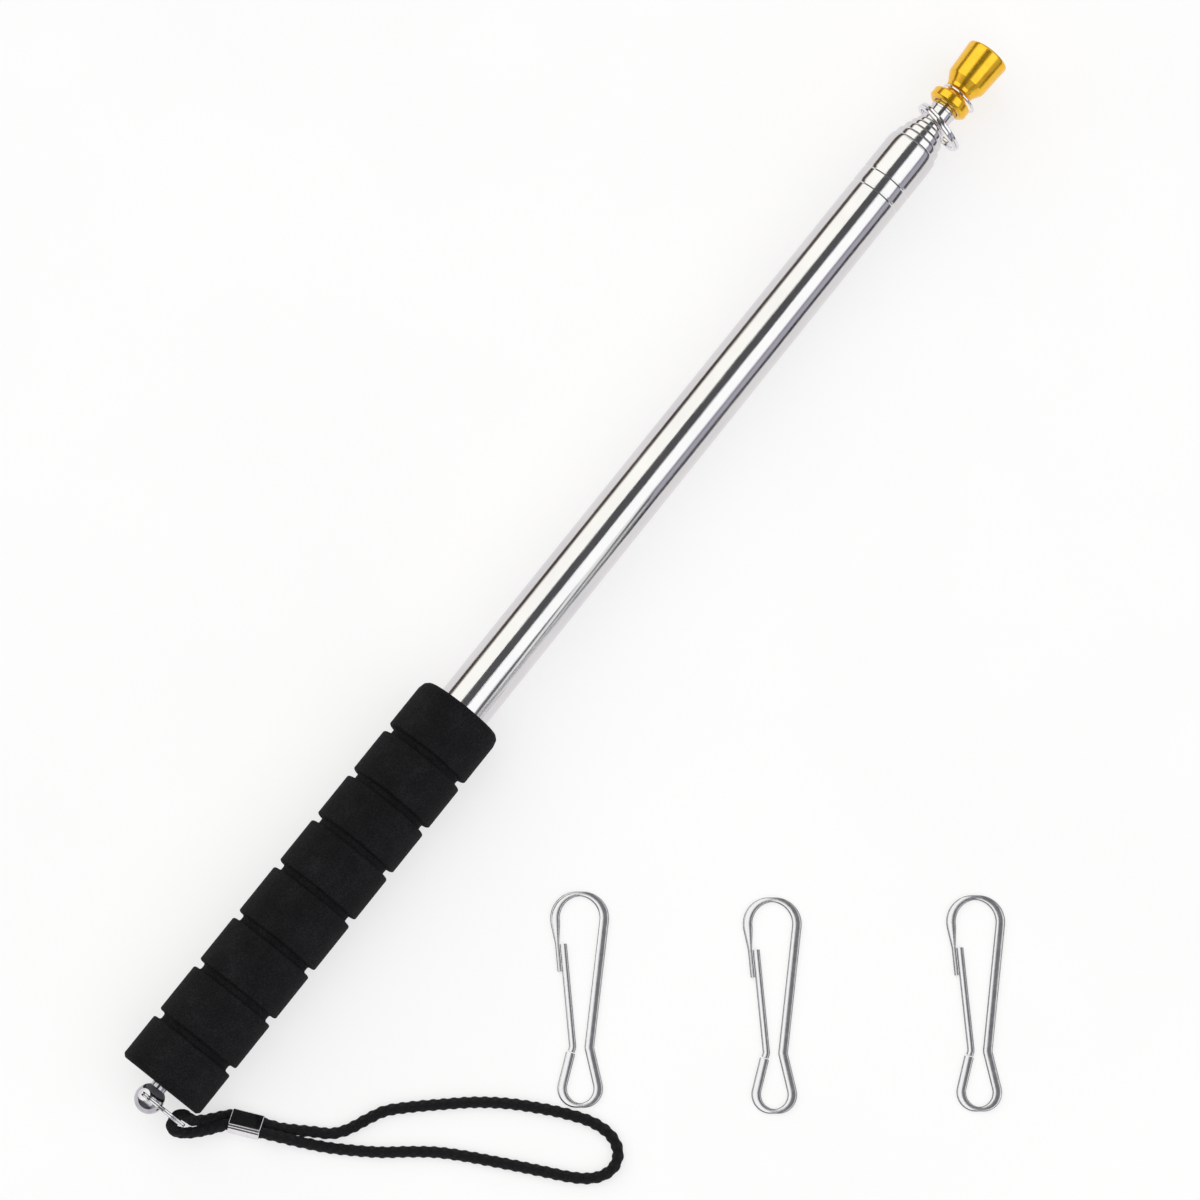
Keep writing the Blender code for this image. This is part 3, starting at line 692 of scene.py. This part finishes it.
def strip_section(width):
    """The strip's section as (across, height) points: its corners softened, its faces slightly crowned."""
    w = width / 2
    outline = softened([(-w, 0), (w, 0), (w, HOOK_THICK), (-w, HOOK_THICK)], EDGE_RADIUS)
    return [(p.x, p.y - FACE_CROWN * (p.x / w) ** 2 * (1 if p.y > HOOK_THICK / 2 else -1)) for p in outline]


def flat_strip(path, width):
    """A strip lying flat along a path. width(place, direction) is its size across the path."""
    loops = []
    for i, here in enumerate(path):
        along = heading(path, i)
        side = Vector((-along.y, along.x))
        middle = here - HOOK_MIDDLE
        section = strip_section(width(here, along))
        loops.append([(*(middle + side * across), height) for across, height in section])
    return skin(loops, closed=False)


def hook_width(place, along):
    """Wider along the legs than across the ends, and narrow from the catch up to the gate's tip."""
    full = CROSS_WIDTH + (LEG_WIDTH - CROSS_WIDTH) * abs(along.y)
    past_gate = min(max((place.y - GATE_TIP[1]) / WIDENING, 0), 1)
    beside_gate = place.x < 0 and place.y > CATCH_END[1] - 1
    return CATCH_WIDTH + (full - CATCH_WIDTH) * past_gate if beside_gate else full


def snap_hooks(plate):
    """Three hooks: each a bent strip from its catch round the loop, the waist and the eye, and its gate."""
    corners = [CATCH_END, (-7.9, LOOP_END), (7.6, LOOP_END), (2.4, 16.8), (6.1, EYE_END), (-6.6, EYE_END),
               (-2.85, 15.35)]
    bends = (LOOP_BEND, LOOP_BEND, WAIST_BEND, EYE_BEND, EYE_BEND)
    hook_path = spaced(rounded(corners, bends, 18), 1.0)
    gate_path = spaced(rounded([GATE_FOOT, GATE_PINCH, GATE_TIP], (GATE_BEND,), 6), 1.0)
    for number, (x, y) in enumerate(HOOK_PLACES, start=1):
        hook = settle(flat_strip(hook_path, hook_width), HOOK_TURN, Vector((x, y, 0)))
        finished(f"hook_{number}_strip", hook, plate, f"hook_{number}", f"snap_hook_{number}")
        gate = settle(flat_strip(gate_path, lambda place, along: GATE_WIDTH), HOOK_TURN, Vector((x, y, 0)))
        finished(f"gate_{number}_strip", gate, plate, f"gate_{number}", f"hook_gate_{number}")


# ---- studio -----------------------------------------------------------------------------------
FLOOR_Z = -0.05
HOOK_SPACING = 56.0
CARD_PHASE = 17.6


def plain_plane(name, low, high, height, material):
    """A level rectangle in bench millimetres that belongs to the studio."""
    mesh = bpy.data.meshes.new(name)
    corners = [(low[0], low[1]), (high[0], low[1]), (high[0], high[1]), (low[0], high[1])]
    mesh.from_pydata([home((x, y, height)) for x, y in corners], [], [(0, 1, 2, 3)])
    mesh.materials.append(material)
    plane = bpy.data.objects.new(name, mesh)
    bpy.context.scene.collection.objects.link(plane)
    return plane


def glow_card(name, colour, strength, low, high, height):
    """A card that only polished surfaces see."""
    look = Look(name, Metallic=0.0, Roughness=1.0, Base_Color=(0.0, 0.0, 0.0, 1), Specular_IOR_Level=0.0,
                Emission_Color=(*colour, 1), Emission_Strength=strength)
    card = plain_plane(name, low, high, height, look.material)
    card.visible_camera = False
    card.visible_diffuse = False
    card.visible_shadow = False
    card.visible_transmission = False
    return look


def cards():
    """A dark card over the pole for its stripe, a striped one over the hooks, and the floor as metal sees it.

    That floor is pale, and dark beyond the hooks' far corner, where a dark shelf hangs low over it: the two
    give the tubes their dark edge line.
    """
    white = (1.0, 1.0, 1.0)
    corner, far = (200, 230), 4000
    glow_card("dark_card", (0.95, 0.93, 1.0), 0.10, (-43, -60), (40, 470), AXIS_Z + 150)
    glow_card("pale_floor_card", (1.0, 0.97, 0.985), 0.92, (-far, -far), (far, far), FLOOR_Z + 0.005)
    glow_card("dark_floor_card", white, 0.05, corner, (far, far), FLOOR_Z + 0.01)
    glow_card("dark_shelf", white, 0.04, corner, (2500, 2500), 46)

    # The hooks' card is paler over each one's gate side than over its long leg. The wave across the hooks is
    # read in the card's own coordinates, so CARD_PHASE is in row-frame millimetres.
    soft = glow_card("soft_card", white, 1.0, (38, 30), (215, 225), 45)
    split = soft.add("ShaderNodeSeparateXYZ", {"Vector": soft.place()})
    across = soft.maths("ADD", soft.maths("MULTIPLY", split.outputs["X"], math.cos(HOOK_TURN)),
                        soft.maths("MULTIPLY", split.outputs["Y"], math.sin(HOOK_TURN)))
    phase = soft.maths("MULTIPLY", soft.maths("SUBTRACT", across, CARD_PHASE), 2 * math.pi / HOOK_SPACING)
    wave = soft.maths("ADD", soft.maths("MULTIPLY", soft.maths("SINE", phase), 0.5), 0.5)
    soft.link(soft.ramp(wave, [(0.3, (0.15, 0.15, 0.16)), (0.7, white)]), "Emission Color")


def sky():
    """A soft sky in bands along the pole, dim towards both its ends, and plain where the camera sees it."""
    world = bpy.data.worlds.new("studio")
    bpy.context.scene.world = world
    world.use_nodes = True
    n = Nodes(world.node_tree)
    split = n.add("ShaderNodeSeparateXYZ", {"Vector": n.add("ShaderNodeTexCoord").outputs["Generated"]})

    # Bands by the angle from straight up, in degrees: -90 is level on the pole's -X side, 90 on its +X side.
    angle = n.maths("ARCTAN2", split.outputs["X"], split.outputs["Z"])
    share = n.add("ShaderNodeMapRange", {"Value": angle, "From Min": -math.pi / 2, "From Max": math.pi / 2})
    cream, white = (1.30, 1.28, 1.22), (1.32, 1.32, 1.32)
    stops = [(-90, (0.10, 0.08, 0.07)), (-80, (0.08, 0.06, 0.05)), (-74, (0.16, 0.13, 0.11)), (-68, cream),
             (-20, cream), (0, white), (54, white), (59, (0.26, 0.25, 0.32)), (68, (0.50, 0.48, 0.56)),
             (79, (0.46, 0.44, 0.50)), (90, (0.62, 0.60, 0.63))]
    bands = n.ramp(share.outputs["Result"], [((degrees + 90) / 180, colour) for degrees, colour in stops])

    endwise = n.maths("ABSOLUTE", split.outputs["Y"])
    ends = n.ramp(endwise, [(0.50, (1, 1, 1)), (0.74, (0.10, 0.10, 0.11))])
    dimmed = n.add("ShaderNodeMix", {0: 1.0, 6: bands, 7: ends}, data_type="RGBA", blend_type="MULTIPLY")
    background = n.tree.nodes["Background"]
    n.tree.links.new(dimmed.outputs[2], background.inputs["Color"])
    plain = n.add("ShaderNodeBackground", {"Color": (0.96, 0.96, 0.96, 1)})
    seen = n.add("ShaderNodeMixShader", {"Fac": n.add("ShaderNodeLightPath").outputs["Is Camera Ray"],
                                         1: background.outputs["Background"], 2: plain.outputs["Background"]})
    n.tree.links.new(seen.outputs["Shader"], n.tree.nodes["World Output"].inputs["Surface"])
    bpy.context.scene.view_settings.view_transform = "Standard"


def studio():
    """A white floor that keeps only a faint shadow, with the cards and the sky."""
    floor = Look("floor", Metallic=0.0, Roughness=0.9, Specular_IOR_Level=0.0, Emission_Color=(1, 1, 1, 1),
                 Emission_Strength=0.62)
    grain = floor.noise(0.01, 2.0)
    floor.link(floor.ramp(grain, [(0.3, (0.39, 0.39, 0.39)), (0.7, (0.41, 0.41, 0.41))]), "Base Color")
    plain_plane("floor", (-6000, -6000), (6000, 6000), FLOOR_Z, floor.material)
    cards()
    sky()


# ---- assembly ---------------------------------------------------------------------------------
def dress(node, material):
    """Gives a carried-over CAD node its finished material."""
    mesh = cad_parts[node].data
    mesh.materials.clear()
    mesh.materials.append(material)


plate = plated_material("bright_plate", (0.76, 0.76, 0.78), (0.84, 0.84, 0.85), 0.05, 0.11)
ball_chrome = plated_material("ball_chrome", (0.44, 0.44, 0.47), (0.54, 0.54, 0.57), 0.09, 0.17)
bronze = plated_material("spring_bronze", (0.45, 0.28, 0.13), (0.58, 0.38, 0.18), 0.30, 0.42)
steel = steel_material()

braided_cord(cord_material())
foam_grip(foam_material())
tubes(steel)
tip(gold_material())
ball(ball_chrome)
rings(plate)
ferrule(plate)
snap_hooks(strip_material())

dress("butt_plug", plastic_material())
dress("tip_stud", steel)
for section in range(2, SECTIONS + 1):
    dress(f"friction_sleeve_{section}", bronze)

studio()
